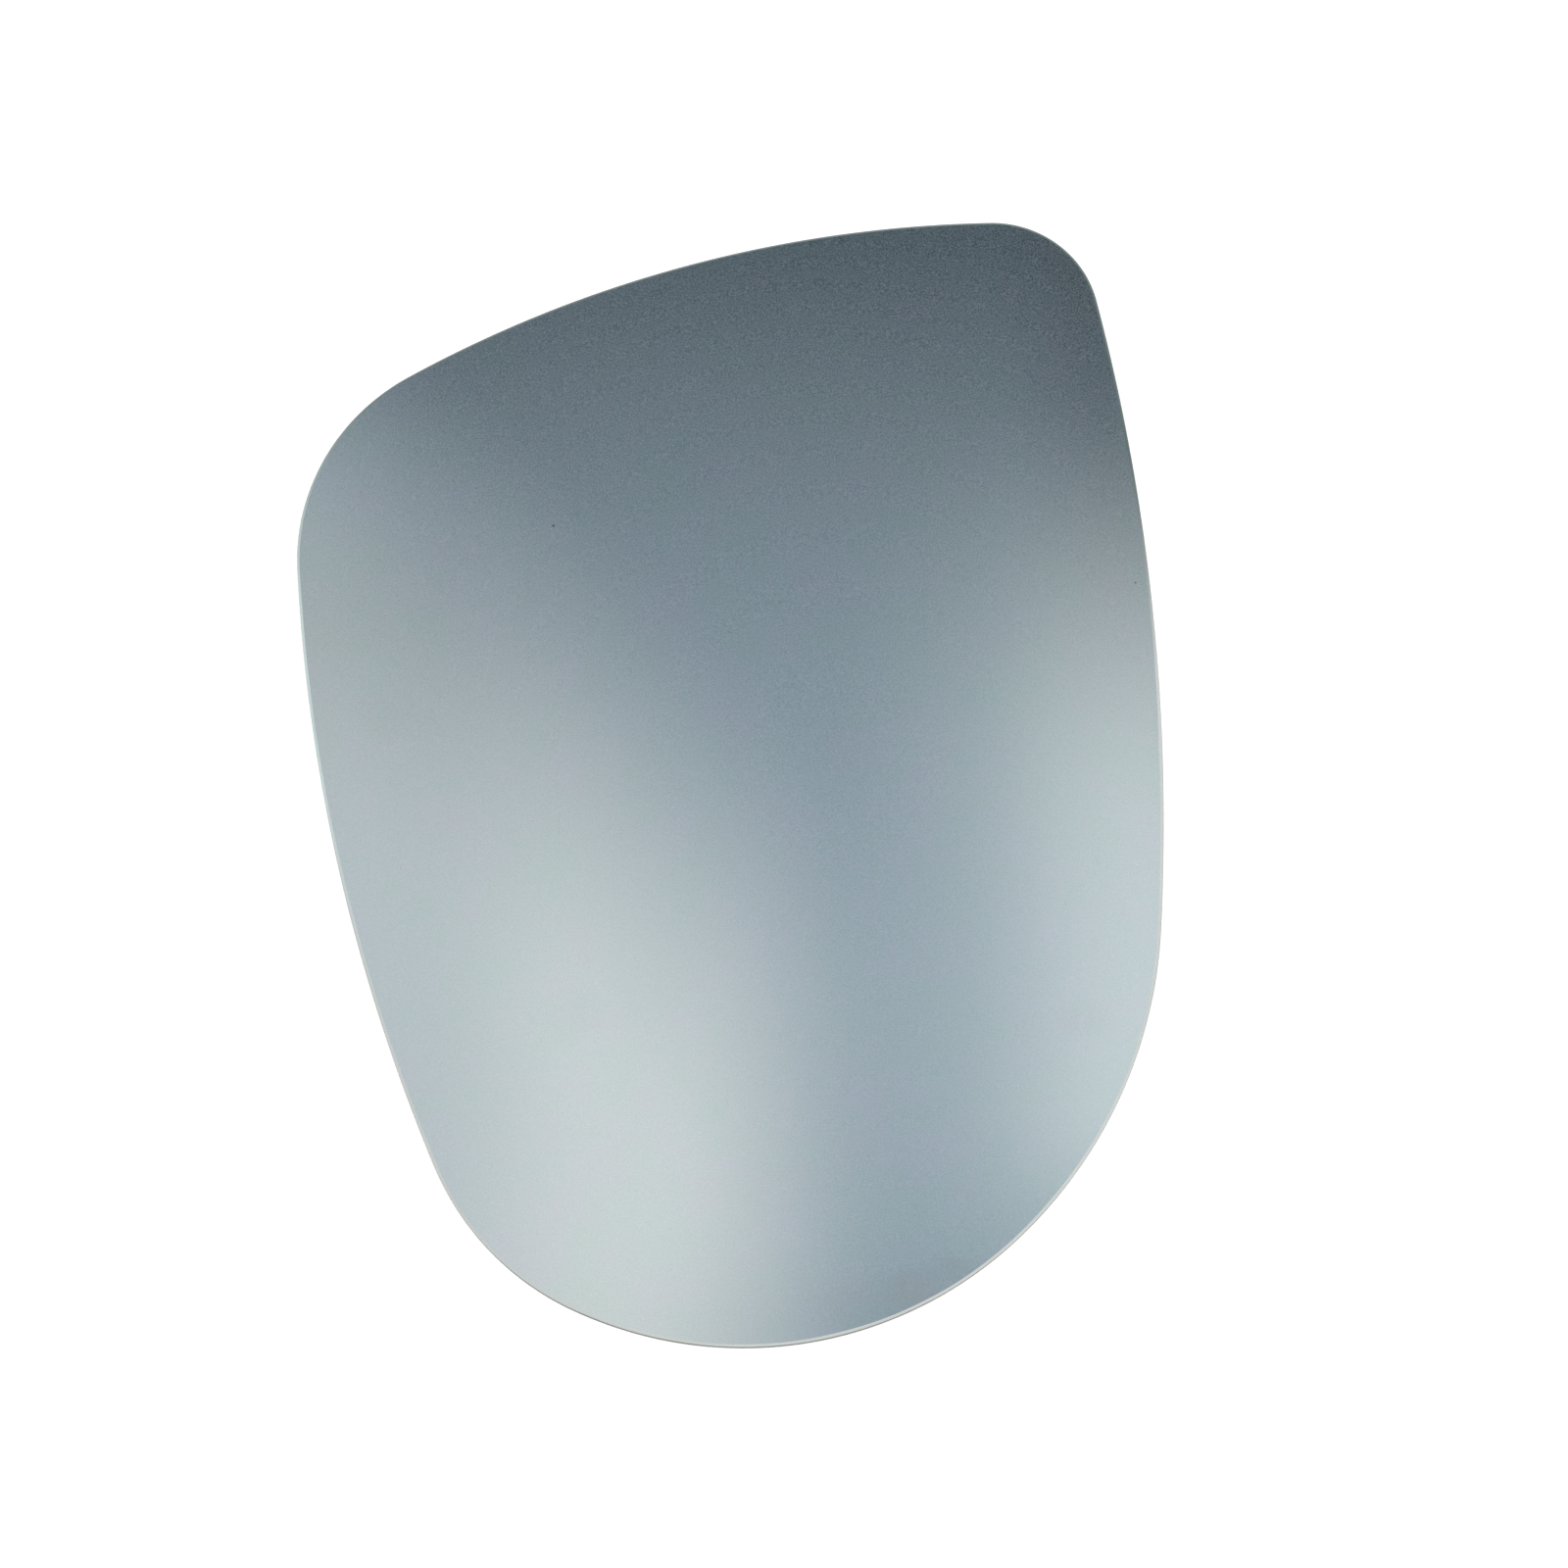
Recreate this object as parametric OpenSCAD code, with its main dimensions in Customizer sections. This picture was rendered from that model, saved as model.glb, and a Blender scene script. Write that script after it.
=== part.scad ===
// Door mirror glass: one sheet of domed mirror glass, cut to its outline and ground round the edge.
// It lies face up, on its rim. Millimetres: +X right, +Y to the top of the outline, +Z up.

/* [Sheet] */
// Thickness of the glass
glass_t = 2; // [1.6:0.1:3]
// Radius of the domed face
dome_r = 1200; // [900:50:2000]
// Width of the ground arris at the front edge, square across the edge
front_arris = 0.5; // [0.2:0.05:0.8]
// Width of the ground arris at the rear edge
rear_arris = 0.3; // [0.1:0.05:0.6]

/* [Outline] */
// Width over the outline
glass_w = 127.5; // [118:0.5:138]
// Height over the outline
glass_h = 169.5; // [158:0.5:182]
// Radius of the right side
right_r = 334; // [280:2:420]
// Height of the right side's widest point above the middle
right_y = -3; // [-8:0.5:4]
// Radius of the tight top right corner
top_right_r = 15.5; // [12:0.5:20]
// Radius of the top side
top_r = 190; // [160:2:240]
// Radius of the top left corner
top_left_r = 32; // [26:0.5:38]
// Height of the top left corner's centre above the middle
top_left_y = 31.5; // [26:0.5:36]
// Radius of the left side
left_r = 272; // [220:2:340]
// Radius of the bottom left corner
bottom_left_r = 40; // [34:0.5:46]
// Radius of the bottom
bottom_r = 58; // [52:0.5:64]
// How far right of the middle the lowest point lies
bottom_x = 2; // [-4:0.5:8]
// Direction, from +X, in which the bottom left corner runs into the bottom
bottom_start = 245; // [238:1:252]
// Direction, from +X, in which the bottom runs into the broad bottom right curve
bottom_end = 312; // [304:1:320]

/* [Dome] */
// How far right of the middle the dome is highest
crown_x = 15.5; // [10:0.5:20]
// How far above the middle the dome is highest
crown_y = 0.5; // [-4:0.5:4]

/* [Hidden] */
// Facets of a full turn of the dome
$fn = 256;
// How far a chord of the outline may stray from its arc
chord_error = 0.01;
// How far the cut keeps the edge's slopes, past the face and past the back
over = 1;
// How far it runs on straight, over the dome and under the table
headroom = 10;
// Where the dome is highest
crown = [crown_x, crown_y];

// Unit vector at angle a
function toward(a) = [cos(a), sin(a)];

// Point at da from A and db from B, left of the way from A to B
function meet(A, da, B, db) =
    let (
        gap = norm(B - A),
        along = (da * da - db * db + gap * gap) / (2 * gap),
        dir = (B - A) / gap
    )
    A + along * dir + sqrt(da * da - along * along) * [-dir.y, dir.x];

// Radius of the arc that leaves P with its centre at angle a behind it and touches circle C, R from inside
function bridge_r(P, a, C, R) =
    let (v = P - C)
    (R * R - v * v) / (2 * (R - v * toward(a)));

// Centres of the arcs
right_c = [glass_w / 2 - right_r, right_y];
top_right_y = glass_h / 2 - top_right_r;
top_right_c = [
    right_c.x + sqrt(pow(right_r - top_right_r, 2) - pow(top_right_y - right_y, 2)),
    top_right_y
];
top_left_c = [top_left_r - glass_w / 2, top_left_y];
top_c = meet(top_right_c, top_r - top_right_r, top_left_c, top_r - top_left_r);
bottom_c = [bottom_x, bottom_r - glass_h / 2];
bottom_left_c = bottom_c + (bottom_r - bottom_left_r) * toward(bottom_start);
left_c = meet(top_left_c, left_r - top_left_r, bottom_left_c, left_r - bottom_left_r);
bend = bottom_c + bottom_r * toward(bottom_end);
bottom_right_r = bridge_r(bend, bottom_end, right_c, right_r);
bottom_right_c = bend - bottom_right_r * toward(bottom_end);

// The outline's arcs, each its centre and radius, anticlockwise from the right side
ARCS = [
    [right_c, right_r],
    [top_right_c, top_right_r],
    [top_c, top_r],
    [top_left_c, top_left_r],
    [left_c, left_r],
    [bottom_left_c, bottom_left_r],
    [bottom_c, bottom_r],
    [bottom_right_c, bottom_right_r]
];

// Direction in which arc i runs into the next, from the centre of the wider arc to that of the tighter
function joint(i) =
    let (
        a = ARCS[(i + len(ARCS)) % len(ARCS)],
        b = ARCS[(i + 1) % len(ARCS)],
        way = a[1] > b[1] ? b[0] - a[0] : a[0] - b[0]
    )
    atan2(way.y, way.x);

// Stations round the outline: each a point and its outward direction
STATIONS = [
    for (i = [0:len(ARCS) - 1])
        let (
            start = joint(i - 1),
            sweep = (joint(i) - start + 360) % 360,
            steps = ceil(sweep / (2 * acos(1 - chord_error / ARCS[i][1])))
        )
        for (k = [0:steps - 1])
            let (dir = toward(start + sweep * k / steps))
            [ARCS[i][0] + ARCS[i][1] * dir, dir]
];

// Angle down the dome of a point drawn s from the crown
function fall(s) = 2 * atan(s / (2 * dome_r));

// Height of the crown, with the rear rim's lowest point at zero
rim_s = max([for (s = STATIONS) norm(s[0] - crown)]) - rear_arris;
rise = dome_r - (dome_r - glass_t) * cos(fall(rim_s));

// Point p of the flat drawing laid on the dome, depth below its face
function lay(p, depth) =
    let (
        q = p - crown,
        f = fall(norm(q)),
        r = dome_r - depth,
        plan = crown + r * sin(f) * q / norm(q)
    )
    [plan.x, plan.y, rise - dome_r + r * cos(f)];

// Section of the edge, each point its distance in from the outline and its depth below the face
EDGE = [
    [front_arris + over, -over],
    [0, front_arris],
    [0, glass_t - rear_arris],
    [rear_arris + over, glass_t + over]
];

// What the ground edge encloses: its section swept round the outline, run on straight up and down
module ground_outline() {
    rings = [for (e = EDGE) [for (s = STATIONS) lay(s[0] - e[0] * s[1], e[1])]];
    top = [for (p = rings[0]) [p.x, p.y, rise + headroom]];
    bottom = [for (p = rings[len(EDGE) - 1]) [p.x, p.y, -headroom]];
    all = concat([top], rings, [bottom]);
    n = len(STATIONS);
    polyhedron(
        points = [for (r = all) each r],
        faces = [
            [for (k = [n - 1:-1:0]) k],
            for (r = [0:len(all) - 2])
                for (k = [0:n - 1])
                    let (m = (k + 1) % n)
                    [r * n + k, r * n + m, (r + 1) * n + m, (r + 1) * n + k],
            [for (k = [0:n - 1]) (len(all) - 1) * n + k]
        ]
    );
}

// The whole dome's shell, turned so that the glass is clear of the poles
module dome_shell() {
    translate([crown.x, crown.y, rise - dome_r])
        rotate([90, 0, 0])
            difference() {
                sphere(r = dome_r);
                sphere(r = dome_r - glass_t);
            }
}

module mirror_glass() {
    color("slategray")
        intersection() {
            dome_shell();
            ground_outline();
        }
}

mirror_glass();
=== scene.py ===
import bpy
import numpy as np
from mathutils import Matrix, Vector


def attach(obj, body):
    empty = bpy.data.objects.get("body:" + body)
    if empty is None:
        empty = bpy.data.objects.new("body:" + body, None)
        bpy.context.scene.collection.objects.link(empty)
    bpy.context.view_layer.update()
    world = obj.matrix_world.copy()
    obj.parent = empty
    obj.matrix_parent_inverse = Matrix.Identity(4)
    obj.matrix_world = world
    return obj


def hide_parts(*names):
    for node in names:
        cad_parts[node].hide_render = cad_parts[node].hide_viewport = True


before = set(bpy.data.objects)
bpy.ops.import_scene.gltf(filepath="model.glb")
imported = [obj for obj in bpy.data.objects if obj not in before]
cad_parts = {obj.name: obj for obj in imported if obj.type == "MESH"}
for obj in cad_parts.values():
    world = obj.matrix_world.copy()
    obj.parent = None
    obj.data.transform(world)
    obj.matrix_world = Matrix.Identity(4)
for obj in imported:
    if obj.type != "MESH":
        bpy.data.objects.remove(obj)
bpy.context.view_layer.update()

# A car door mirror glass lying face up on a white table: domed sheet, ground edge, painted back.
# Shapes are worked out in millimetres and go into the mesh in metres. +Z is out of the mirror face.

MM = 0.001

# The sheet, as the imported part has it
GLASS_T = 2.0
DOME_R = 1200.0
CROWN = np.array([15.5, 0.5])
FRONT_ARRIS = 0.5
REAR_ARRIS = 0.3

# The outline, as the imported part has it
GLASS_W = 127.5
GLASS_H = 169.5
RIGHT_R, RIGHT_Y = 334.0, -3.0
TOP_RIGHT_R = 15.5
TOP_R = 190.0
TOP_LEFT_R, TOP_LEFT_Y = 32.0, 31.5
LEFT_R = 272.0
BOTTOM_LEFT_R = 40.0
BOTTOM_R, BOTTOM_X = 58.0, 2.0
BOTTOM_START, BOTTOM_END = 245.0, 312.0

# How finely the piece is drawn: stations round the rim, and rings from the middle to the rim
RIM_STATIONS = 720
FACE_RINGS = 34

# The front arris's uneven width, in shares of it: how far it swings in a turn, the swing's phase in
# radians, and its offset. Then its waver: the waves to a turn, the share and the phase of each
ARRIS_SWING, ARRIS_PHASE, ARRIS_OFFSET = 0.1, 0.4, -0.02
ARRIS_WAVER = ((5, 0.05, 0.6), (13, 0.035, 2.1), (41, 0.02, 0.0))
# Where the front arris passes at its middle, as a share of its width: half would be flat
ARRIS_BOW = 0.42

# The glass's finishes, in the order of its material slots
FACE, EDGE, BACK = 0, 1, 2

# The least reach that a direction is taken from, so that the crown itself can be laid
LEAST_REACH = 1e-9


def toward(degrees):
    """Unit vectors in the plan, at these angles anticlockwise from +X."""
    angle = np.radians(degrees)
    return np.stack([np.cos(angle), np.sin(angle)], -1)


def meet(a, reach_a, b, reach_b):
    """Where a circle round a crosses a circle round b, left of the way from a to b: along that way by
    (ra^2 - rb^2 + gap^2) / 2 gap, and square to it by what Pythagoras leaves of ra."""
    gap = np.hypot(*(b - a))
    along = (reach_a**2 - reach_b**2 + gap**2) / (2 * gap)
    way = (b - a) / gap
    return a + along * way + np.sqrt(reach_a**2 - along**2) * np.array([-way[1], way[0]])


def outline_arcs():
    """The eight arcs of the outline, anticlockwise from the right side, as centres and radii. Each touches
    its neighbours, so its centre lies the difference of the two radii from the next one's centre. The last
    arc starts square to the bottom arc's end and touches the right side from inside."""
    right = np.array([GLASS_W / 2 - RIGHT_R, RIGHT_Y])
    top_right_y = GLASS_H / 2 - TOP_RIGHT_R
    across = np.sqrt((RIGHT_R - TOP_RIGHT_R) ** 2 - (top_right_y - RIGHT_Y) ** 2)
    top_right = np.array([right[0] + across, top_right_y])
    top_left = np.array([TOP_LEFT_R - GLASS_W / 2, TOP_LEFT_Y])
    top = meet(top_right, TOP_R - TOP_RIGHT_R, top_left, TOP_R - TOP_LEFT_R)
    bottom = np.array([BOTTOM_X, BOTTOM_R - GLASS_H / 2])
    bottom_left = bottom + (BOTTOM_R - BOTTOM_LEFT_R) * toward(BOTTOM_START)
    left = meet(top_left, LEFT_R - TOP_LEFT_R, bottom_left, LEFT_R - BOTTOM_LEFT_R)
    bend = bottom + BOTTOM_R * toward(BOTTOM_END)
    away = bend - right
    bottom_right_r = (RIGHT_R**2 - away @ away) / (2 * (RIGHT_R - away @ toward(BOTTOM_END)))
    bottom_right = bend - bottom_right_r * toward(BOTTOM_END)
    centres = [right, top_right, top, top_left, left, bottom_left, bottom, bottom_right]
    radii = [RIGHT_R, TOP_RIGHT_R, TOP_R, TOP_LEFT_R, LEFT_R, BOTTOM_LEFT_R, BOTTOM_R, bottom_right_r]
    return np.array(centres), np.array(radii)


def rim_stations(count):
    """Points of the outline at even steps of its length. Neighbouring arcs join on the line through their
    centres, so arc i sweeps from that line's angle on one side to its angle on the other; a station is its
    arc's centre plus radius times direction. Returns points, outward directions, distances along, and the
    whole length."""
    centres, radii = outline_arcs()
    onward = np.roll(centres, -1, 0) - centres
    from_wider = np.where((radii > np.roll(radii, -1))[:, None], onward, -onward)
    end = np.degrees(np.arctan2(from_wider[:, 1], from_wider[:, 0]))
    start = np.roll(end, 1)
    sweep = (end - start) % 360
    length = radii * np.radians(sweep)
    passed = np.cumsum(length)
    way = np.arange(count) * passed[-1] / count
    i = np.searchsorted(passed, way, side="right")
    out = toward(start[i] + sweep[i] * (way - passed[i] + length[i]) / length[i])
    return centres[i] + radii[i, None] * out, out, way, passed[-1]


def fall(reach):
    """Angle down the dome of a point that the flat drawing has at that reach from the crown: twice the
    angle whose tangent is reach over the dome's diameter."""
    return 2 * np.arctan(reach / (2 * DOME_R))


def lay(drawn, depth, rise):
    """Points of the flat drawing laid on the dome: each goes down the sphere of radius R - depth by its fall
    angle, straight away from the crown. rise is the crown's height over the table."""
    q = drawn - CROWN
    reach = np.maximum(np.linalg.norm(q, axis=-1, keepdims=True), LEAST_REACH)
    angle = fall(reach)
    radius = DOME_R - np.broadcast_to(np.asarray(depth, float), reach.shape[:-1])[..., None]
    plan = CROWN + radius * np.sin(angle) * q / reach
    return np.concatenate([plan, rise - DOME_R + radius * np.cos(angle)], -1)


def arris_width(turn):
    """Width of the front arris at each share of a turn of the rim: its set width times the sum of one, a
    cosine that makes it 8% more at the bottom right and 12% less across from there, and a few sines of
    whole numbers of waves for the waver of a hand-fed wheel."""
    lap = 2 * np.pi * turn
    uneven = ARRIS_SWING * np.cos(lap + ARRIS_PHASE) + ARRIS_OFFSET
    waver = sum(share * np.sin(waves * lap + phase) for waves, share, phase in ARRIS_WAVER)
    return FRONT_ARRIS * (1 + uneven + waver)


def mirror_sheet(name):
    """The whole glass as one closed skin. A profile runs from a hub out over the front face, down the front
    arris, the wall and the rear arris, and back under to a hub behind. A section is one stretch of it: its
    rows of points in the flat drawing, carried round the rim's stations, and their depth below the face.
    Each row is laid on the dome. The front arris bows out a little at its middle, as a belt leaves it."""
    rim, out, way, around = rim_stations(RIM_STATIONS)
    turn = way / around
    width = arris_width(turn)
    rim_reach = np.linalg.norm(rim - CROWN, axis=1).max() - REAR_ARRIS
    rise = DOME_R - (DOME_R - GLASS_T) * np.cos(fall(rim_reach))
    hub = np.zeros(2)
    outward = np.linspace(0, 1, FACE_RINGS + 1)[1:, None, None]

    front_edge = rim - width[:, None] * out
    rear_edge = rim - REAR_ARRIS * out
    bow = ARRIS_BOW * FRONT_ARRIS
    sections = [
        (hub + outward * (front_edge - hub), 0.0),
        ((rim - bow * out)[None], bow),
        (rim[None], FRONT_ARRIS),
        (rim[None], GLASS_T - REAR_ARRIS),
        (hub + outward[::-1] * (rear_edge - hub), GLASS_T),
    ]
    rings = np.concatenate([lay(drawn, depth, rise) for drawn, depth in sections])
    hubs = np.stack([lay(hub, 0.0, rise), lay(hub, GLASS_T, rise)])
    points = np.concatenate([hubs, rings.reshape(-1, 3)]) * MM

    n, rows = RIM_STATIONS, len(rings)
    k = np.arange(n)
    after = (k + 1) % n
    first = len(hubs) + n * np.arange(rows)[:, None]
    quads = np.stack([first[:-1] + k, first[1:] + k, first[1:] + after, first[:-1] + after], -1)
    front_fan = np.stack([np.zeros(n, int), first[0] + k, first[0] + after], -1)
    rear_fan = np.stack([first[-1] + k, np.ones(n, int), first[-1] + after], -1)
    faces = quads.reshape(-1, 4).tolist() + front_fan.tolist() + rear_fan.tolist()

    mesh = bpy.data.meshes.new(name)
    mesh.from_pydata(points.tolist(), [], faces)

    # Rows that end a flat: face to arris, arris to wall, wall to rear arris, rear arris to back
    corners = FACE_RINGS - 1 + np.array([0, 2, 3, 4])
    band = np.searchsorted(corners, np.arange(rows - 1), side="right")
    finish_of_band = np.array([FACE, EDGE, EDGE, EDGE, BACK])
    slots = np.concatenate([np.repeat(finish_of_band[band], n), np.full(n, FACE), np.full(n, BACK)])
    mesh.polygons.foreach_set("material_index", slots.astype(np.int32))
    mesh.polygons.foreach_set("use_smooth", np.ones(len(faces), bool))

    ends = np.empty(len(mesh.edges) * 2, np.int32)
    mesh.edges.foreach_get("vertices", ends)
    row = (ends.reshape(-1, 2) - len(hubs)) // n
    sharp = (row[:, 0] == row[:, 1]) & np.isin(row[:, 0], corners)
    mesh.edges.foreach_set("use_edge_sharp", sharp)

    # Where a point lies on the edge, for the grinding marks: x and y go round a circle as long as the rim,
    # so the marks close without a seam, and z is the distance along the profile from the face's edge
    path = np.concatenate([rings[:, :, 2:], np.linalg.norm(rings[:, :, :2], axis=-1, keepdims=True)], -1)
    step = np.linalg.norm(np.diff(path, axis=0, prepend=path[:1]), axis=-1)
    across = np.cumsum(step, 0) - np.cumsum(step, 0)[FACE_RINGS - 1]
    lap = around / (2 * np.pi) * toward(360 * turn)
    place = np.concatenate([np.broadcast_to(lap, (rows, n, 2)), across[..., None]], -1)
    place = np.concatenate([np.zeros((len(hubs), 3)), place.reshape(-1, 3)])
    marks = mesh.attributes.new("along_rim", "FLOAT_VECTOR", "POINT")
    marks.data.foreach_set("vector", place.astype(np.float32).ravel())
    mesh.update()

    piece = bpy.data.objects.new(name, mesh)
    bpy.context.scene.collection.objects.link(piece)
    return piece


# Materials

# Inputs that are set in pairs: a Map Range's range in and its range out, and a colour Mix's two colours
SPAN, LEVELS, COLOURS = (1, 2), (3, 4), (6, 7)
# The output that holds a colour Mix's result
MIXED = 2
SMOOTH = {"interpolation_type": "SMOOTHSTEP"}

# The stretch of a noise's 0 to 1 that a pattern is made from: the narrower, the harder the pattern
SOFT, EVEN, FIRM, HARD = (0.2, 0.8), (0.25, 0.75), (0.3, 0.7), (0.4, 0.6)

# Refraction of float glass, and how deep the bumps of the ground edge and of the paint go
GLASS_IOR = 1.52
BUMP_DEPTH = 0.02 * MM


def srgb(hex_colour):
    """Linear RGBA of an sRGB hex colour."""
    c = np.array([int(hex_colour[i : i + 2], 16) for i in (1, 3, 5)]) / 255
    linear = np.where(c <= 0.04045, c / 12.92, ((c + 0.055) / 1.055) ** 2.4)
    return (*linear.tolist(), 1.0)


def add(tree, kind, sockets=None, out=0, **settings):
    """Adds a node of that kind, with its settings. sockets gives each input, by name or number, a value or
    an output to link from, and each pair of inputs a pair of those. Returns the node's output out."""
    node = tree.nodes.new("ShaderNode" + kind)
    for key, value in settings.items():
        setattr(node, key, value)
    for keys, values in (sockets or {}).items():
        if not isinstance(keys, tuple):
            keys, values = (keys,), (values,)
        for key, value in zip(keys, values):
            if isinstance(value, bpy.types.NodeSocket):
                tree.links.new(value, node.inputs[key])
            else:
                node.inputs[key].default_value = value
    return node.outputs[out]


def new_material(name):
    """An empty node material: its tree, and its output node's surface input."""
    material = bpy.data.materials.new(name)
    material.use_nodes = True
    tree = material.node_tree
    tree.nodes.clear()
    surface = tree.nodes.new("ShaderNodeOutputMaterial").inputs["Surface"]
    return material, tree, surface


# The coat's drift of colour: the size of its patches in mm, and its two tints, green and lilac
DRIFT_MM = 9
DRIFT_TINTS = srgb("#C9D8D9"), srgb("#D2D5E0")

# Prints on the face: middle x and y, half width and half height in mm, strength
PRINTS = [
    (26.5, -76.5, 5.5, 4.2, 0.85),
    (32.6, -73.4, 6.5, 3.0, 0.42),
    (22.0, -79.0, 13.0, 7.0, 0.28),
    (-22.0, -37.0, 6.0, 5.0, 0.12),
    (51.5, -37.0, 6.0, 4.0, 0.14),
    (-49.5, 7.0, 7.0, 5.0, 0.12),
]
# The share of a print's reach over which it fades, and a depth in mm that makes it the same all through
PRINT_FADE = (0.2, 1.0)
PRINT_DEPTH = 1e3
# Skin grain in mm, and how far it breaks a print up
SKIN_MM, SKIN_LEVELS = 1.5, (0.4, 1.0)

# Dark pits in the coat: x, y, radius in mm; and where a pit's edge fades, in its own radii
PITS = [(-26.0, 36.0, 0.2), (60.0, 28.5, 0.12)]
PIT_CORE, PIT_RIM = 0.6, 1.3

# Dust: the cells that hold one point each, in mm, a speck's fading edge as a share of a cell, and the
# draw past which a point is a speck
DUST_CELL_MM = 9
DUST_EDGE = (0.012, 0.022)
DUST_DRAW = 0.6

# The share of the mirror's light that is left under a print, a pit and a speck
UNDER_PRINT, UNDER_PIT, UNDER_DUST = 0.75, 0.3, 0.88
# Roughness of the clean face and of a full print
CLEAN_ROUGH, PRINT_ROUGH = 0.03, 0.22

# The dust film and the uneven coat: grain in mm, and the levels that each runs between
FILM_MM, FILM_LEVELS = 0.22, (1.0, 0.84)
COAT_MM, COAT_LEVELS = 0.26, (0.972, 1.028)


def silvered_face():
    """Float glass, 2 mm, with a reflecting metal coat, seen through the polished front. It reads as a cool
    grey mirror with a clear gloss over it; handling leaves a few dull prints and specks of dust."""
    material, tree, surface = new_material("silvered_float_glass")
    place = add(tree, "TexCoord", out="Object")
    mm = add(tree, "VectorMath", {0: place, "Scale": 1 / MM}, operation="SCALE")

    # The coat's own colour drifts a little between green and lilac, over millimetres and centimetres
    drifting = {"Vector": mm, "Scale": 1 / DRIFT_MM, "Detail": 5.0, "Roughness": 0.75}
    drift = add(tree, "TexNoise", drifting, "Fac")
    drift = add(tree, "MapRange", {0: drift, SPAN: EVEN})
    tint = add(tree, "Mix", {0: drift, COLOURS: DRIFT_TINTS}, MIXED, data_type="RGBA")

    # Prints: soft ovals, broken up by skin grain
    grain = add(tree, "TexNoise", {"Vector": mm, "Scale": 1 / SKIN_MM, "Detail": 3.0}, "Fac")
    patchy = add(tree, "MapRange", {0: grain, SPAN: FIRM, LEVELS: SKIN_LEVELS})
    prints = 0.0
    for x, y, half_w, half_h, strength in PRINTS:
        oval_frame = {"Vector": mm, "Location": (x, y, 0), "Scale": (half_w, half_h, PRINT_DEPTH)}
        inside = add(tree, "Mapping", oval_frame, vector_type="TEXTURE")
        reach = add(tree, "VectorMath", {0: inside}, "Value", operation="LENGTH")
        oval = add(tree, "MapRange", {0: reach, SPAN: PRINT_FADE, LEVELS: (strength, 0.0)}, **SMOOTH)
        prints = add(tree, "Math", {0: prints, 1: oval}, operation="ADD")
    prints = add(tree, "Math", {0: prints, 1: patchy}, operation="MULTIPLY")

    # Dust: specks up to 0.4 mm across. A point shows only where it lies near the face, so there is on
    # average one speck to 50 square centimetres
    cell = {"Vector": mm, "Scale": 1 / DUST_CELL_MM, "Randomness": 1.0}
    near = add(tree, "TexVoronoi", cell, "Distance")
    lot = add(tree, "TexVoronoi", cell, "Color")
    dust = add(tree, "MapRange", {0: near, SPAN: DUST_EDGE, LEVELS: (1.0, 0.0)})
    chosen = add(tree, "Math", {0: lot, 1: DUST_DRAW}, operation="GREATER_THAN")
    dust = add(tree, "Math", {0: dust, 1: chosen}, operation="MULTIPLY")

    # The two pits that show
    pits = 0.0
    for x, y, radius in PITS:
        off = add(tree, "VectorMath", {0: mm, 1: (x, y, 0)}, operation="SUBTRACT")
        flat = add(tree, "VectorMath", {0: off, 1: (1, 1, 0)}, operation="MULTIPLY")
        reach = add(tree, "VectorMath", {0: flat}, "Value", operation="LENGTH")
        fade = (PIT_CORE * radius, PIT_RIM * radius)
        spot = add(tree, "MapRange", {0: reach, SPAN: fade, LEVELS: (1.0, 0.0)})
        pits = add(tree, "Math", {0: pits, 1: spot}, operation="MAXIMUM")

    # A film of fine dust scatters a little light of its own, most plainly over dark reflections. Its grains
    # are a few hundredths of a millimetre; drawn at 0.22 mm they show as a faint even grain
    film = add(tree, "TexNoise", {"Vector": mm, "Scale": 1 / FILM_MM, "Detail": 0.0}, "Fac")
    bare = add(tree, "MapRange", {0: film, SPAN: SOFT, LEVELS: FILM_LEVELS})
    # The coat itself is slightly uneven, just as finely; drawn at 0.26 mm
    coat = add(tree, "TexNoise", {"Vector": mm, "Scale": 1 / COAT_MM, "Detail": 0.0}, "Fac")
    coat = add(tree, "MapRange", {0: coat, SPAN: EVEN, LEVELS: COAT_LEVELS})

    dull = add(tree, "MapRange", {0: prints, LEVELS: (1.0, UNDER_PRINT)})
    soiled = add(tree, "MapRange", {0: pits, LEVELS: (1.0, UNDER_PIT)})
    level = add(tree, "Math", {0: dull, 1: soiled}, operation="MULTIPLY")
    dusty = add(tree, "MapRange", {0: dust, LEVELS: (1.0, UNDER_DUST)})
    level = add(tree, "Math", {0: level, 1: dusty}, operation="MULTIPLY")
    level = add(tree, "Math", {0: level, 1: coat}, operation="MULTIPLY")
    colour = add(tree, "VectorMath", {0: tint, "Scale": level}, operation="SCALE")
    rough = add(tree, "MapRange", {0: prints, LEVELS: (CLEAN_ROUGH, PRINT_ROUGH)})

    mirror = {
        "Base Color": colour,
        "Metallic": bare,
        "Roughness": rough,
        "Coat Weight": 1.0,
        "Coat Roughness": 0.0,
        "Coat IOR": GLASS_IOR,
    }
    tree.links.new(add(tree, "BsdfPrincipled", mirror), surface)
    return material


# Wheel marks: how many to a mm, in x and y of the rim's circle and along the profile, and the levels that
# they run between
STREAKS_PER_MM, STREAK_LEVELS = (0.1, 0.1, 8.0), (0.93, 1.05)
# Grit: its grain in mm, and its levels
GRIT_MM, GRIT_LEVELS = 0.15, (0.95, 1.05)
# Chips: the cells that hold one point each, in mm, a chip's fading edge as a share of a cell, and its
# gleam
CHIP_CELL_MM = 5
CHIP_EDGE = (0.03, 0.06)
CHIP_GLEAM = 0.12

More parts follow.
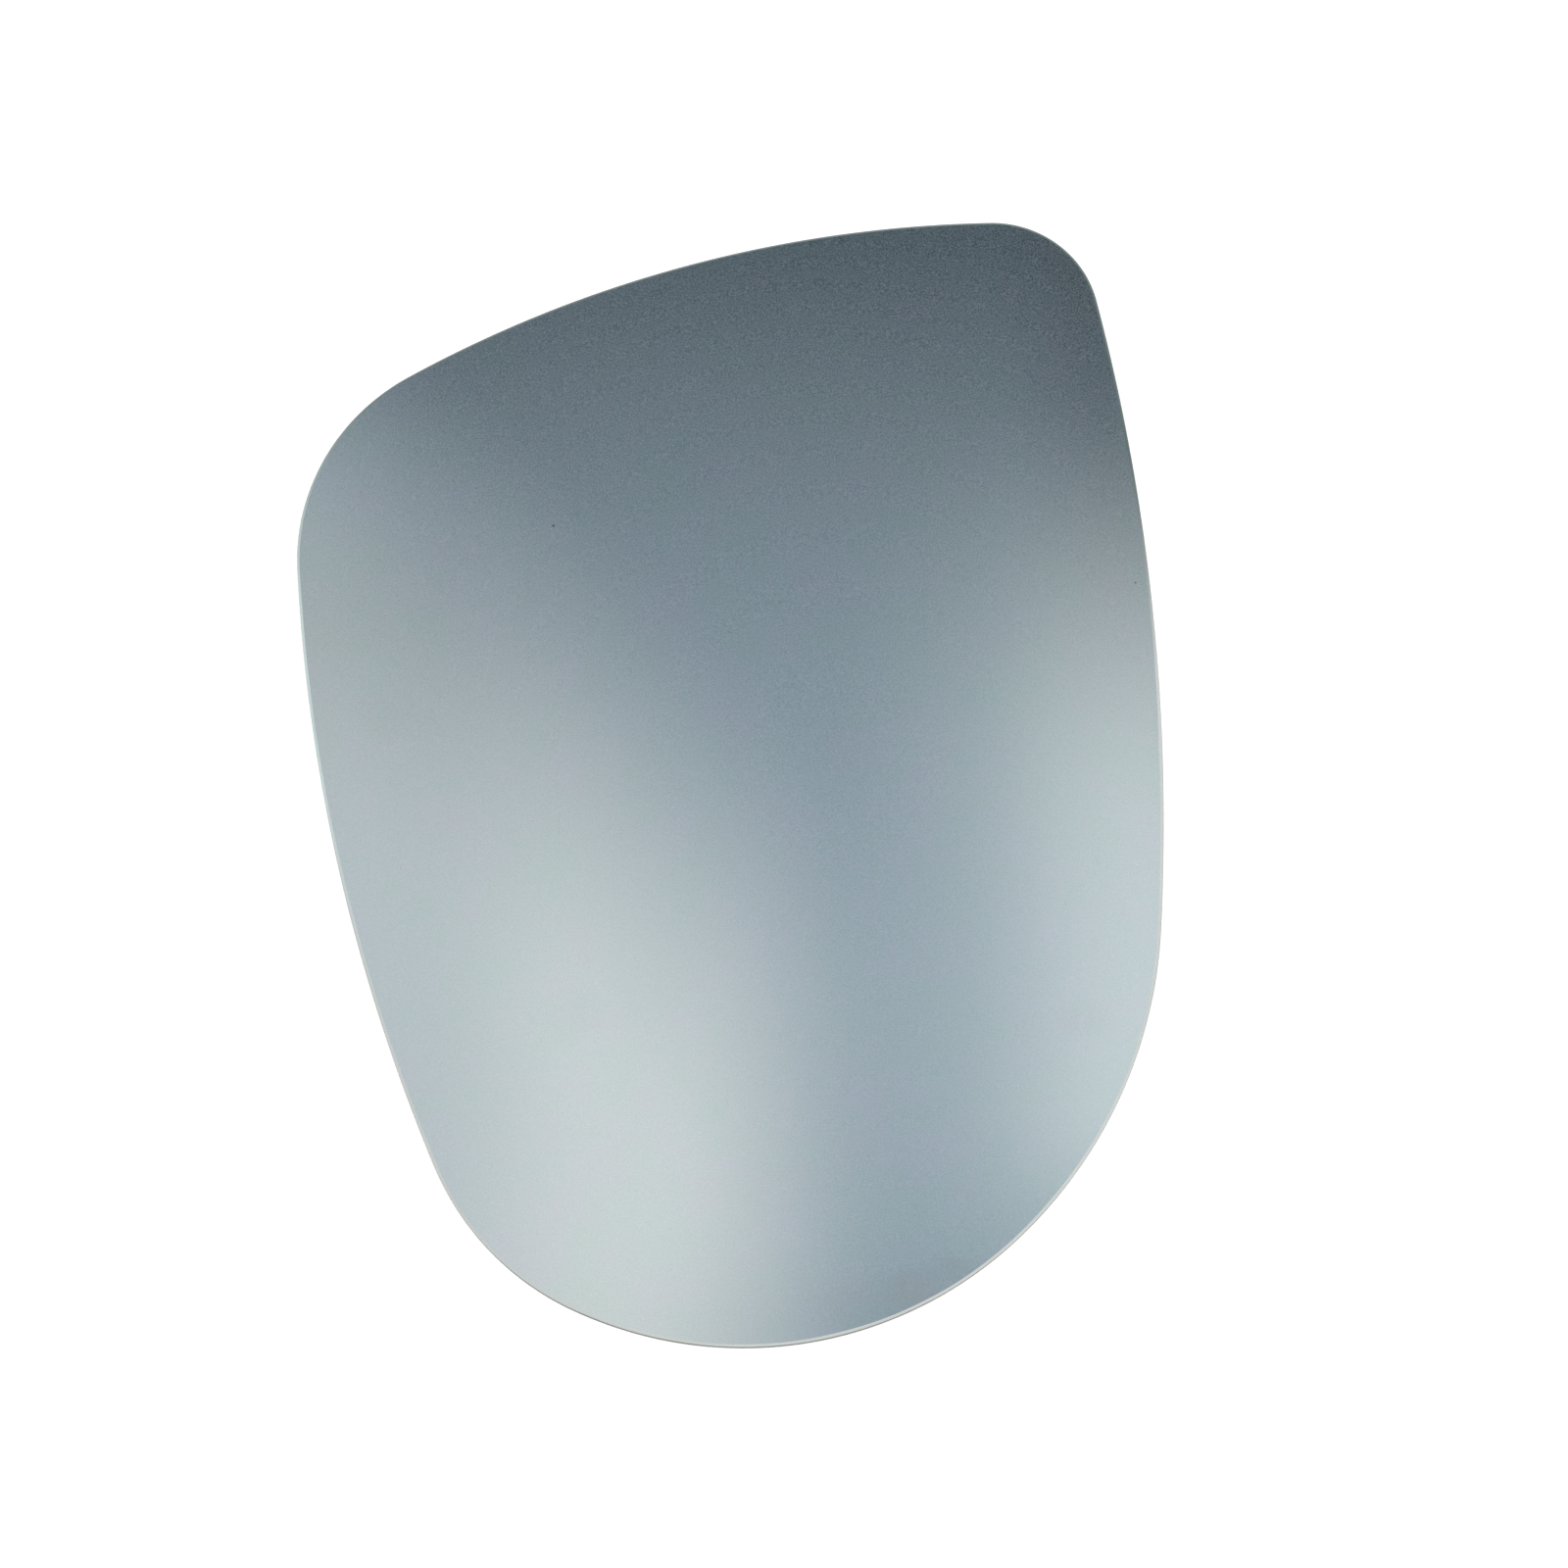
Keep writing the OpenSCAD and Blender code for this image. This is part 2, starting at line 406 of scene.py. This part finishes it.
# Where the edge's painted light, its painted shade and its finish change, seen from above: the direction in
# which each change runs, and its span.
# The painted light that makes the edge lighter to the right changes along X
MINT_WAY, MINT_SPAN = (1, -0.8, 0), (-58 * MM, -25 * MM)
SHADED_END_WAY, SHADED_END_SPAN = (0.12, 1, 0), (14 * MM, 57 * MM)
LIGHTER_RIGHT_SPAN, LIGHTER_RIGHT_LEVELS = (-45 * MM, 45 * MM), (0.95, 1.05)
# Where the painted shade and grime of the wall and its foot climb at the broad end, going down in Y, and by
# how many mm
DARK_RISE_SPAN, DARK_RISE = (-60 * MM, -78 * MM), 0.14
# Distances in mm along the profile over which the wall and its foot darken with painted shade and grime, and
# the most they do
WALL_SPAN, FOOT_SPAN = (0.58, 0.68), (0.8, 1.15)
DARKEST = 0.9

# Mint and pale grey set the edge's painted light by side; the dark green is painted shade at the tapered end
MINT_GLASS, PALE_GLASS, SHADED_END_GLASS = srgb("#CADAD8"), srgb("#CBD0CE"), srgb("#4C605E")
# A grey wall and a darker foot: painted shade, with grime at the foot
GREY_WALL, GRIME_AND_SHADE_FOOT = srgb("#767872"), srgb("#494A43")
# Roughness of the ground finish and of the glossier one at the tapered end
GROUND_ROUGH, TAPERED_END_ROUGH = 0.55, 0.3


def ground_edge():
    """Glass cut and ground with a diamond wheel, then arrised on a belt. Ground glass scatters, so the edge
    is a matt pale line with fine marks along it and a chip here and there; towards the tapered end it is
    glossier, and painted shade makes it dark green."""
    material, tree, surface = new_material("ground_glass_edge")
    place = add(tree, "TexCoord", out="Object")
    rim = add(tree, "Attribute", attribute_name="along_rim", out="Vector")

    # Wheel marks: streaks 10 mm long; real ones are 0.03 mm wide, drawn 0.12 mm wide so that they show
    stretched = add(tree, "VectorMath", {0: rim, 1: STREAKS_PER_MM}, operation="MULTIPLY")
    streaks = add(tree, "TexNoise", {"Vector": stretched, "Scale": 1.0, "Detail": 3.0}, "Fac")
    # Grit: 0.1 mm diamond grit leaves a sugary grain, drawn at 0.15 mm so that it shows
    grit = add(tree, "TexNoise", {"Vector": rim, "Scale": 1 / GRIT_MM, "Detail": 2.0}, "Fac")
    # Chips: flakes up to 0.6 mm across. A point shows only where it lies near the edge's surface, so there
    # is on average one chip to 9 cm of the rim
    near = add(tree, "TexVoronoi", {"Vector": rim, "Scale": 1 / CHIP_CELL_MM}, "Distance")
    chips = add(tree, "MapRange", {0: near, SPAN: CHIP_EDGE, LEVELS: (1.0, 0.0)})

    # The ground glass is mint green and lighter on the left side, above the middle, and a plain pale grey
    # elsewhere, a little lighter to the right. Both of these are painted light
    side = add(tree, "VectorMath", {0: place, 1: MINT_WAY}, "Value", operation="DOT_PRODUCT")
    side = add(tree, "MapRange", {0: side, SPAN: MINT_SPAN})
    pale = add(tree, "Mix", {0: side, COLOURS: (MINT_GLASS, PALE_GLASS)}, MIXED, data_type="RGBA")
    rightward = add(tree, "SeparateXYZ", {0: place}, "X")
    lighter_right = add(tree, "MapRange", {0: rightward, SPAN: LIGHTER_RIGHT_SPAN, LEVELS: LIGHTER_RIGHT_LEVELS})
    # Painted shade at the tapered end, dark green with a glossier finish, which reaches a little further
    # down on the right
    along = add(tree, "VectorMath", {0: place, 1: SHADED_END_WAY}, "Value", operation="DOT_PRODUCT")
    clear = add(tree, "MapRange", {0: along, SPAN: SHADED_END_SPAN}, **SMOOTH)
    glass = add(tree, "Mix", {0: clear, COLOURS: (pale, SHADED_END_GLASS)}, MIXED, data_type="RGBA")

    # Below the arris the wall is greyer, and darker still at its foot: painted shade, with grime at the
    # foot. At the broad end the painted shade and grime reach further up, over the wall's corner
    down = add(tree, "SeparateXYZ", {0: rim}, "Z")
    low = add(tree, "SeparateXYZ", {0: place}, "Y")
    dark_rise = add(tree, "MapRange", {0: low, SPAN: DARK_RISE_SPAN, LEVELS: (0.0, DARK_RISE)})
    down = add(tree, "Math", {0: down, 1: dark_rise}, operation="ADD")
    wall = add(tree, "MapRange", {0: down, SPAN: WALL_SPAN, LEVELS: (0.0, DARKEST)})
    glass = add(tree, "Mix", {0: wall, COLOURS: (glass, GREY_WALL)}, MIXED, data_type="RGBA")
    foot = add(tree, "MapRange", {0: down, SPAN: FOOT_SPAN, LEVELS: (0.0, DARKEST)})
    glass = add(tree, "Mix", {0: foot, COLOURS: (glass, GRIME_AND_SHADE_FOOT)}, MIXED, data_type="RGBA")

    streaky = add(tree, "MapRange", {0: streaks, SPAN: FIRM, LEVELS: STREAK_LEVELS})
    sugar = add(tree, "MapRange", {0: grit, SPAN: FIRM, LEVELS: GRIT_LEVELS})
    level = add(tree, "Math", {0: streaky, 1: sugar}, operation="MULTIPLY")
    level = add(tree, "Math", {0: level, 1: lighter_right}, operation="MULTIPLY")
    level = add(tree, "Math", {0: chips, 1: CHIP_GLEAM, 2: level}, operation="MULTIPLY_ADD")
    colour = add(tree, "VectorMath", {0: glass, "Scale": level}, operation="SCALE")

    # The glossier finish follows the mask of the painted shade at the tapered end
    rough = add(tree, "MapRange", {0: clear, LEVELS: (GROUND_ROUGH, TAPERED_END_ROUGH)})
    relief = add(tree, "Math", {0: streaks, 1: grit}, operation="ADD")
    relief = add(tree, "Math", {0: relief, 1: chips}, operation="SUBTRACT")
    bump = add(tree, "Bump", {"Strength": 0.35, "Distance": BUMP_DEPTH, "Height": relief})
    ground = {
        "Base Color": colour,
        "Roughness": rough,
        "IOR": GLASS_IOR,
        "Specular IOR Level": 0.3,
        "Normal": bump,
    }
    tree.links.new(add(tree, "BsdfPrincipled", ground), surface)
    return material


# The paint's patterns in mm: hills of its orange peel, length and width of its flow bands, size of its worn
# patches, and length and width of a rub
PEEL_MM = 1.6
FLOW_LENGTH, FLOW_WIDTH = 60, 14
WORN_MM = 35
RUB_LENGTH, RUB_WIDTH = 30, 0.4
# The two ways that rubs slant: the turn in radians, and the noise past which one shows; and its soft edge
RUB_WAYS = ((0.6, 0.67), (-0.9, 0.7))
RUB_EDGE = 0.08
# The paint between two flow bands and in one, and rubbed
PAINT_GREYS, RUBBED_GREY = (srgb("#70767A"), srgb("#858B8E")), srgb("#A4A8A9")
# Roughness of the paint, and where it is rubbed
PAINT_ROUGH, RUBBED_ROUGH = 0.42, 0.62
PAINT_IOR = 1.5


def backing_paint():
    """Two-part mirror backing paint, curtain coated and baked: an even mid grey with a low sheen and a
    faint orange peel, with a few rubs from the stack it was kept in."""
    material, tree, surface = new_material("grey_backing_paint")
    place = add(tree, "TexCoord", out="Object")
    mm = add(tree, "VectorMath", {0: place, "Scale": 1 / MM}, operation="SCALE")

    # Orange peel, 1.6 mm from hill to hill
    peel = add(tree, "TexNoise", {"Vector": mm, "Scale": 1 / PEEL_MM, "Detail": 2.0}, "Fac")
    # The curtain's flow leaves bands about 14 mm wide across the sheet
    flow = add(tree, "VectorMath", {0: mm, 1: (1 / FLOW_LENGTH, 1 / FLOW_WIDTH, 0)}, operation="MULTIPLY")
    bands = add(tree, "TexNoise", {"Vector": flow, "Scale": 1.0, "Detail": 2.0}, "Fac")
    # Rubs, slanting one way and a few the other, in patches
    worn = add(tree, "TexNoise", {"Vector": mm, "Scale": 1 / WORN_MM, "Detail": 1.0}, "Fac")
    worn = add(tree, "MapRange", {0: worn, SPAN: HARD})
    scuff = 0.0
    for turn, least in RUB_WAYS:
        rub_frame = {"Vector": mm, "Rotation": (0, 0, turn), "Scale": (RUB_LENGTH, RUB_WIDTH, 1)}
        slant = add(tree, "Mapping", rub_frame, vector_type="TEXTURE")
        lines = add(tree, "TexNoise", {"Vector": slant, "Scale": 1.0, "Detail": 2.0}, "Fac")
        lines = add(tree, "MapRange", {0: lines, SPAN: (least, least + RUB_EDGE)})
        scuff = add(tree, "Math", {0: scuff, 1: lines}, operation="MAXIMUM")
    scuff = add(tree, "Math", {0: scuff, 1: worn}, operation="MULTIPLY")
    grey = add(tree, "Mix", {0: bands, COLOURS: PAINT_GREYS}, MIXED, data_type="RGBA")
    colour = add(tree, "Mix", {0: scuff, COLOURS: (grey, RUBBED_GREY)}, MIXED, data_type="RGBA")
    rough = add(tree, "MapRange", {0: scuff, LEVELS: (PAINT_ROUGH, RUBBED_ROUGH)})
    bump = add(tree, "Bump", {"Strength": 0.25, "Distance": BUMP_DEPTH, "Height": peel})
    paint = {"Base Color": colour, "Roughness": rough, "IOR": PAINT_IOR, "Normal": bump}
    tree.links.new(add(tree, "BsdfPrincipled", paint), surface)
    return material


glass = mirror_sheet("dressed_mirror_glass")
for finish in (silvered_face(), ground_edge(), backing_paint()):
    glass.data.materials.append(finish)
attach(glass, "root")
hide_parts("mirror_glass")


# The table: a wide white sheet that the glass lies on. Half its side and its gap to the glass, in metres,
# and the light of its own that camera, mirror and glass rays see
TABLE_HALF = 1.6
TABLE_GAP = 0.02 * MM
TABLE_LIFT = 0.55


def white_table():
    """One square of matt white paper just under the glass. Camera, mirror and glass rays see it lighter
    than its light makes it, so that it runs into the white behind; the shadow stays."""
    corners = TABLE_HALF * np.array([[-1, -1], [1, -1], [1, 1], [-1, 1]])
    level = np.full((4, 1), -TABLE_GAP)
    mesh = bpy.data.meshes.new("white_table")
    mesh.from_pydata(np.hstack([corners, level]).tolist(), [], [[0, 1, 2, 3]])
    table = bpy.data.objects.new("white_table", mesh)
    bpy.context.scene.collection.objects.link(table)

    material, tree, surface = new_material("white_paper")
    path = add(tree, "LightPath").node.outputs
    seen = add(tree, "Math", {0: path["Is Camera Ray"], 1: path["Is Glossy Ray"]}, operation="ADD")
    seen = add(tree, "Math", {0: seen, 1: path["Is Transmission Ray"]}, operation="ADD")
    lift = add(tree, "Math", {0: seen, 1: TABLE_LIFT}, operation="MULTIPLY")
    paper = {
        "Base Color": srgb("#F1F1F0"),
        "Roughness": 0.9,
        "Specular IOR Level": 0.0,
        "Emission Color": (1, 1, 1, 1),
        "Emission Strength": lift,
    }
    tree.links.new(add(tree, "BsdfPrincipled", paper), surface)
    mesh.materials.append(material)


white_table()


# The room: plain white all round. The mirror faces the ceiling, so mirror rays also see what hangs there.
# A place on the ceiling is u to the right and v towards the tapered end, for a ceiling at height 1. A span
# is where a soft step starts and ends, and a colour is linear light. The numbers were fitted to the shading
# that the glass shows, then rounded, and some were changed.

# The ceiling: it darkens with v, is a little dimmer at the near end, and has a darker far right corner
CEILING_COLOURS = (0.39, 0.47, 0.515, 1), (0.0, 0.02, 0.033, 1)
GLOOM_V = (0.10, 0.62)
NEAR_END_V, NEAR_END_LEVEL = (-0.1, 0.02), 0.83
CORNER_U, CORNER_DROP = (0.137, 0.2), -0.39

# The wide light on the left: its edge leans with v, its far side is dimmer, its top slopes with u, and it
# is warm below and white above
LEFT_EDGE_U, LEFT_EDGE_LEAN = (-0.024, 0.103), -0.207
LEFT_FAR_U, LEFT_FAR_LEVEL = (-0.126, -0.034), 0.62
LEFT_TOP_V, LEFT_TOP_SLOPE = (0.01, 0.304), 1.1
LEFT_COLOURS = (0.523, 0.45, 0.359, 1), (0.96, 1.01, 1.0, 1)
LEFT_COLOURS_V = (0.27, 0.435)

# The band of light that runs out to the right: it starts in two soft steps, and is cut off at the top and
# foot
FIRST_STEP_U, FIRST_STEP = (0.053, 0.17), 0.48
SECOND_STEP_U, SECOND_STEP = (0.118, 0.206), 0.52
RIGHT_TOP_V = (0.189, 0.416)
RIGHT_FOOT_V = (-0.039, 0.071)
RIGHT_COLOUR = (0.46, 0.426, 0.358)

# The walls: the reach at which the ceiling gives way to them, and their colour from the foot to the top, by
# a direction's own height
WALL_REACH = (0.52, 1.2)
WALL_HEIGHT = (0.05, 0.62)
WALL_COLOURS = (0.97, 0.97, 0.97, 1), (0.58, 0.64, 0.67, 1)
# The least height that u and v are worked out from, so that a level direction has a place too
LEAST_HEIGHT = 0.05
# What all but mirror and glass rays see
WHITE = (1, 1, 1, 1)


def white_room():
    """World light. A direction is u = x/z, v = y/z, its place on a flat ceiling at height 1. The ceiling
    goes from blue-grey overhead to dark towards +v. Two soft-edged lights are added to it: a wide one that
    fills the left, and a band that runs out to the right. Further out the ceiling gives way to the walls,
    which go from grey at the top to white at the foot."""
    world = bpy.data.worlds.new("white_room")
    bpy.context.scene.world = world
    world.use_nodes = True
    tree = world.node_tree
    tree.nodes.clear()
    ray = add(tree, "SeparateXYZ", {0: add(tree, "TexCoord", out="Generated")}).node.outputs
    height = add(tree, "Math", {0: ray["Z"], 1: LEAST_HEIGHT}, operation="MAXIMUM")
    u = add(tree, "Math", {0: ray["X"], 1: height}, operation="DIVIDE")
    v = add(tree, "Math", {0: ray["Y"], 1: height}, operation="DIVIDE")

    gloom = add(tree, "MapRange", {0: v, SPAN: GLOOM_V}, **SMOOTH)
    ceiling = add(tree, "Mix", {0: gloom, COLOURS: CEILING_COLOURS}, MIXED, data_type="RGBA")
    near_end = add(tree, "MapRange", {0: v, SPAN: NEAR_END_V, LEVELS: (NEAR_END_LEVEL, 1.0)}, **SMOOTH)
    corner = add(tree, "MapRange", {0: u, SPAN: CORNER_U, LEVELS: (0.0, CORNER_DROP)}, **SMOOTH)
    level = add(tree, "Math", {0: corner, 1: gloom, 2: near_end}, operation="MULTIPLY_ADD")
    ceiling = add(tree, "VectorMath", {0: ceiling, "Scale": level}, operation="SCALE")

    leaning = add(tree, "Math", {0: v, 1: LEFT_EDGE_LEAN, 2: u}, operation="MULTIPLY_ADD")
    sloping = add(tree, "Math", {0: u, 1: LEFT_TOP_SLOPE, 2: v}, operation="MULTIPLY_ADD")
    left = add(tree, "MapRange", {0: leaning, SPAN: LEFT_EDGE_U, LEVELS: (1.0, 0.0)}, **SMOOTH)
    left_far = add(tree, "MapRange", {0: u, SPAN: LEFT_FAR_U, LEVELS: (LEFT_FAR_LEVEL, 1.0)}, **SMOOTH)
    left_top = add(tree, "MapRange", {0: sloping, SPAN: LEFT_TOP_V, LEVELS: (1.0, 0.0)}, **SMOOTH)
    left = add(tree, "Math", {0: left, 1: left_far}, operation="MULTIPLY")
    left = add(tree, "Math", {0: left, 1: left_top}, operation="MULTIPLY")
    cool = add(tree, "MapRange", {0: v, SPAN: LEFT_COLOURS_V}, **SMOOTH)
    left_colour = add(tree, "Mix", {0: cool, COLOURS: LEFT_COLOURS}, MIXED, data_type="RGBA")
    left = add(tree, "VectorMath", {0: left_colour, "Scale": left}, operation="SCALE")

    first = add(tree, "MapRange", {0: u, SPAN: FIRST_STEP_U, LEVELS: (0.0, FIRST_STEP)}, **SMOOTH)
    second = add(tree, "MapRange", {0: u, SPAN: SECOND_STEP_U, LEVELS: (0.0, SECOND_STEP)}, **SMOOTH)
    right_top = add(tree, "MapRange", {0: v, SPAN: RIGHT_TOP_V, LEVELS: (1.0, 0.0)}, **SMOOTH)
    right_foot = add(tree, "MapRange", {0: v, SPAN: RIGHT_FOOT_V}, **SMOOTH)
    right = add(tree, "Math", {0: first, 1: second}, operation="ADD")
    right = add(tree, "Math", {0: right, 1: right_top}, operation="MULTIPLY")
    right = add(tree, "Math", {0: right, 1: right_foot}, operation="MULTIPLY")
    right = add(tree, "VectorMath", {0: RIGHT_COLOUR, "Scale": right}, operation="SCALE")

    lit = add(tree, "VectorMath", {0: ceiling, 1: left}, operation="ADD")
    lit = add(tree, "VectorMath", {0: lit, 1: right}, operation="ADD")
    spot = add(tree, "CombineXYZ", {0: u, 1: v})
    reach = add(tree, "VectorMath", {0: spot}, "Value", operation="LENGTH")
    off_ceiling = add(tree, "MapRange", {0: reach, SPAN: WALL_REACH}, **SMOOTH)
    wall_top = add(tree, "MapRange", {0: ray["Z"], SPAN: WALL_HEIGHT}, **SMOOTH)
    walls = add(tree, "Mix", {0: wall_top, COLOURS: WALL_COLOURS}, MIXED, data_type="RGBA")
    room = add(tree, "Mix", {0: off_ceiling, COLOURS: (lit, walls)}, MIXED, data_type="RGBA")

    path = add(tree, "LightPath").node.outputs
    rays = {0: path["Is Glossy Ray"], 1: path["Is Transmission Ray"]}
    mirror_rays = add(tree, "Math", rays, operation="ADD", use_clamp=True)
    seen = add(tree, "Mix", {0: mirror_rays, COLOURS: (WHITE, room)}, MIXED, data_type="RGBA")
    light = add(tree, "Background", {"Color": seen, "Strength": 1.0})
    tree.links.new(light, tree.nodes.new("ShaderNodeOutputWorld").inputs["Surface"])


white_room()


# The camera: a long lens nearly straight above, leaning a little towards the foot of the glass. What it
# looks at, the direction in which it stands from there, and how far off, in metres
CAMERA_TARGET = Vector((7.92, -2.76, 5.27)) * MM
CAMERA_SIDE = Vector((-0.0523, -0.2079, 0.9767)).normalized()
CAMERA_REACH = 0.7619
LENS_MM, SENSOR_MM = 120, 36
NEAREST, FARTHEST = 0.05, 10

camera = bpy.data.objects.new("camera", bpy.data.cameras.new("camera"))
camera.data.lens = LENS_MM
camera.data.sensor_width = SENSOR_MM
camera.data.clip_start = NEAREST
camera.data.clip_end = FARTHEST
across = Vector((0, 1, 0)).cross(CAMERA_SIDE).normalized()
turned = Matrix((across, CAMERA_SIDE.cross(across), CAMERA_SIDE)).transposed()
camera.matrix_world = Matrix.LocRotScale(CAMERA_TARGET + CAMERA_REACH * CAMERA_SIDE, turned, None)
bpy.context.scene.collection.objects.link(camera)
bpy.context.scene.camera = camera

bpy.context.scene.view_settings.view_transform = "Standard"
